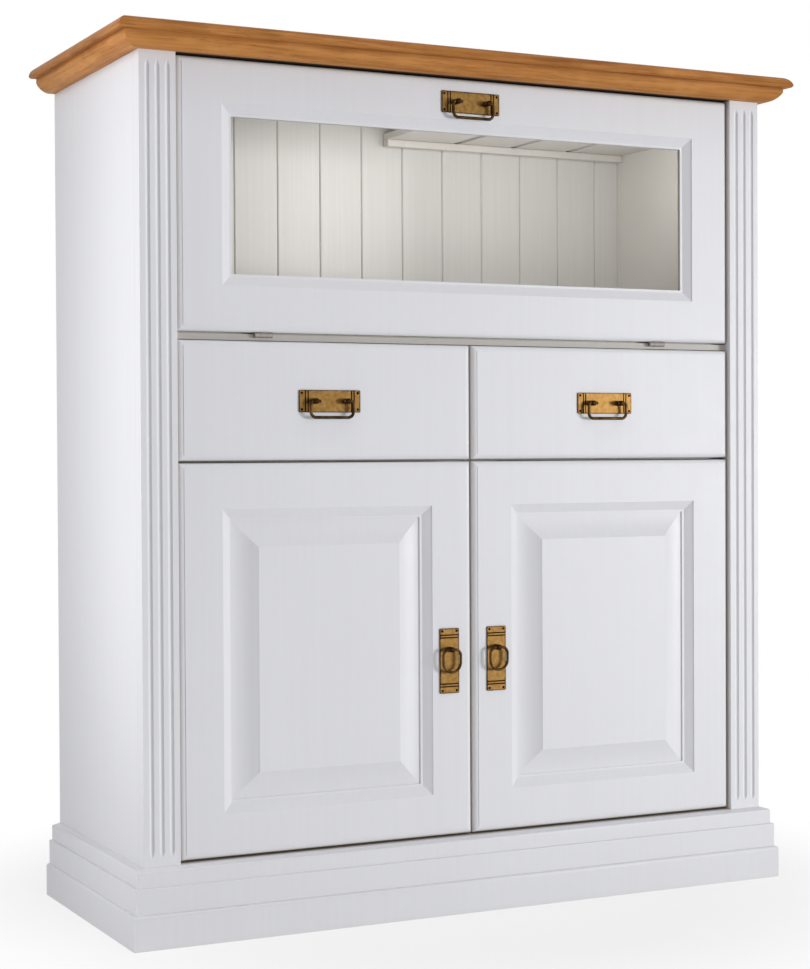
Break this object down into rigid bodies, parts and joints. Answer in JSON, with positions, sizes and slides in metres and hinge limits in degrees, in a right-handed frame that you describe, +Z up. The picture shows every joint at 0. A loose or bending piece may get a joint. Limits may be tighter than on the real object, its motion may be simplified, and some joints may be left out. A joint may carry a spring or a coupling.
{
  "type": "bar cabinet",
  "caption": "White lacquered bar cabinet with a glazed flap that folds down as a shelf, drawers, panelled doors, fluted pilasters, stepped plinth and oiled wood top.",
  "frame": {"origin": "under the middle of the cabinet's bounding box, on the floor", "axes": "+Z up; the front faces -Y; +X to the right of a viewer in front"},
  "size_m": [1.24, 0.482, 1.4135],
  "materials": {
    "white_lacquer": "satin white lacquer",
    "interior_lacquer": "satin warm white lacquer",
    "stained_wood": "nearly black stain, matt",
    "honey_wood": "oiled, satin",
    "drawer_wood": "clear varnish",
    "clear_glass": "clear, polished",
    "antique_brass": "aged, satin",
    "dark_brass": "darkened, satin",
    "steel": "nickel plated, satin",
    "catch_plastic": "matt"
  },
  "bodies": {
    "cabinet": {"plinth_front": "white_lacquer", "plinth_sides": "white_lacquer", "plinth_back": "white_lacquer", "floor_panel": "interior_lacquer", "side_panel_left": "white_lacquer", "side_panel_right": "white_lacquer", "pilasters": "white_lacquer", "drawer_deck": "interior_lacquer", "drawer_divider": "interior_lacquer", "bar_floor": "white_lacquer", "top_rail": "stained_wood", "carcase_top": "interior_lacquer", "back_boards": "interior_lacquer", "side_battens": "interior_lacquer", "rack_boards": "interior_lacquer", "rack_battens": "interior_lacquer", "cupboard_shelf": "interior_lacquer", "shelf_pins": "steel", "cornice_moulding": "honey_wood", "top_panel": "honey_wood", "top_nosing": "honey_wood", "door_hinge_arms": "steel", "magnetic_catches": "catch_plastic", "flap_hinge_fixed_leaves": "steel"},
    "flap": {"flap_stiles": "white_lacquer", "flap_rails": "white_lacquer", "flap_glass": "clear_glass", "flap_glazing_beads": "white_lacquer", "flap_handle_plate": "antique_brass", "flap_hinge_leaves": "steel", "flap_fittings": "steel"},
    "flap_bail": {"flap_bail": "dark_brass"},
    "left_drawer": {"left_drawer_front": "white_lacquer", "left_drawer_sides": "drawer_wood", "left_drawer_back": "drawer_wood", "left_drawer_bottom": "drawer_wood", "left_drawer_handle_plate": "antique_brass"},
    "left_drawer_bail": {"left_drawer_bail": "dark_brass"},
    "left_door": {"left_door_stiles": "white_lacquer", "left_door_rails": "white_lacquer", "left_door_panel": "white_lacquer", "left_door_fittings": "steel", "left_door_handle_plate": "antique_brass"},
    "left_door_ring": {"left_door_ring": "dark_brass"},
    "left_stay_bar": {"left_stay_bar": "steel"},
    "left_stay_guide": {"left_stay_guide": "steel"},
    "right_drawer": {"right_drawer_front": "white_lacquer", "right_drawer_sides": "drawer_wood", "right_drawer_back": "drawer_wood", "right_drawer_bottom": "drawer_wood", "right_drawer_handle_plate": "antique_brass"},
    "right_drawer_bail": {"right_drawer_bail": "dark_brass"},
    "right_door": {"right_door_stiles": "white_lacquer", "right_door_rails": "white_lacquer", "right_door_panel": "white_lacquer", "right_door_fittings": "steel", "right_door_handle_plate": "antique_brass"},
    "right_door_ring": {"right_door_ring": "dark_brass"},
    "right_stay_bar": {"right_stay_bar": "steel"},
    "right_stay_guide": {"right_stay_guide": "steel"}
  },
  "joints": [
    {"name": "flap_fold", "type": "hinge", "parent": "cabinet", "child": "flap", "pos_m": [0, -0.185, 0.9411], "axis": [1, 0, 0], "range_deg": [0, 90]},
    {"name": "flap_bail_swing", "type": "hinge", "parent": "flap", "child": "flap_bail", "pos_m": [0, -0.202, 1.3305], "axis": [-1, 0, 0], "range_deg": [0, 90]},
    {"name": "left_drawer_slide", "type": "slide", "parent": "cabinet", "child": "left_drawer", "axis": [0, -1, 0], "range_m": [0, 0.3]},
    {"name": "left_drawer_bail_swing", "type": "hinge", "parent": "left_drawer", "child": "left_drawer_bail", "pos_m": [-0.25725, -0.202, 0.83825], "axis": [-1, 0, 0], "range_deg": [0, 90]},
    {"name": "left_door_swing", "type": "hinge", "parent": "cabinet", "child": "left_door", "pos_m": [-0.4955, -0.178, 0.1255], "axis": [0, 0, -1], "range_deg": [0, 105]},
    {"name": "left_door_ring_swing", "type": "hinge", "parent": "left_door", "child": "left_door_ring", "pos_m": [-0.044, -0.202, 0.432], "axis": [-1, 0, 0], "range_deg": [0, 90]},
    {"name": "left_stay_bar_turn", "type": "hinge", "parent": "flap", "child": "left_stay_bar", "pos_m": [-0.5015, -0.159, 1.06847], "axis": [1, 0, 0], "range_deg": [-45, 0]},
    {"name": "left_stay_guide_turn", "type": "hinge", "parent": "cabinet", "child": "left_stay_guide", "pos_m": [-0.5015, -0.13309, 1.06028], "axis": [1, 0, 0], "range_deg": [0, 45]},
    {"name": "right_drawer_slide", "type": "slide", "parent": "cabinet", "child": "right_drawer", "axis": [0, -1, 0], "range_m": [0, 0.3]},
    {"name": "right_drawer_bail_swing", "type": "hinge", "parent": "right_drawer", "child": "right_drawer_bail", "pos_m": [0.25725, -0.202, 0.83825], "axis": [-1, 0, 0], "range_deg": [0, 90]},
    {"name": "right_door_swing", "type": "hinge", "parent": "cabinet", "child": "right_door", "pos_m": [0.4955, -0.178, 0.1255], "axis": [0, 0, 1], "range_deg": [0, 105]},
    {"name": "right_door_ring_swing", "type": "hinge", "parent": "right_door", "child": "right_door_ring", "pos_m": [0.044, -0.202, 0.432], "axis": [-1, 0, 0], "range_deg": [0, 90]},
    {"name": "right_stay_bar_turn", "type": "hinge", "parent": "flap", "child": "right_stay_bar", "pos_m": [0.5015, -0.159, 1.06847], "axis": [1, 0, 0], "range_deg": [-45, 0]},
    {"name": "right_stay_guide_turn", "type": "hinge", "parent": "cabinet", "child": "right_stay_guide", "pos_m": [0.5015, -0.13309, 1.06028], "axis": [1, 0, 0], "range_deg": [0, 45]}
  ],
  "couplings": [
    {"joint": "left_stay_bar_turn", "follows": "flap_fold", "ratio": -0.5},
    {"joint": "left_stay_guide_turn", "follows": "flap_fold", "ratio": 0.5},
    {"joint": "right_stay_bar_turn", "follows": "flap_fold", "ratio": -0.5},
    {"joint": "right_stay_guide_turn", "follows": "flap_fold", "ratio": 0.5}
  ]
}
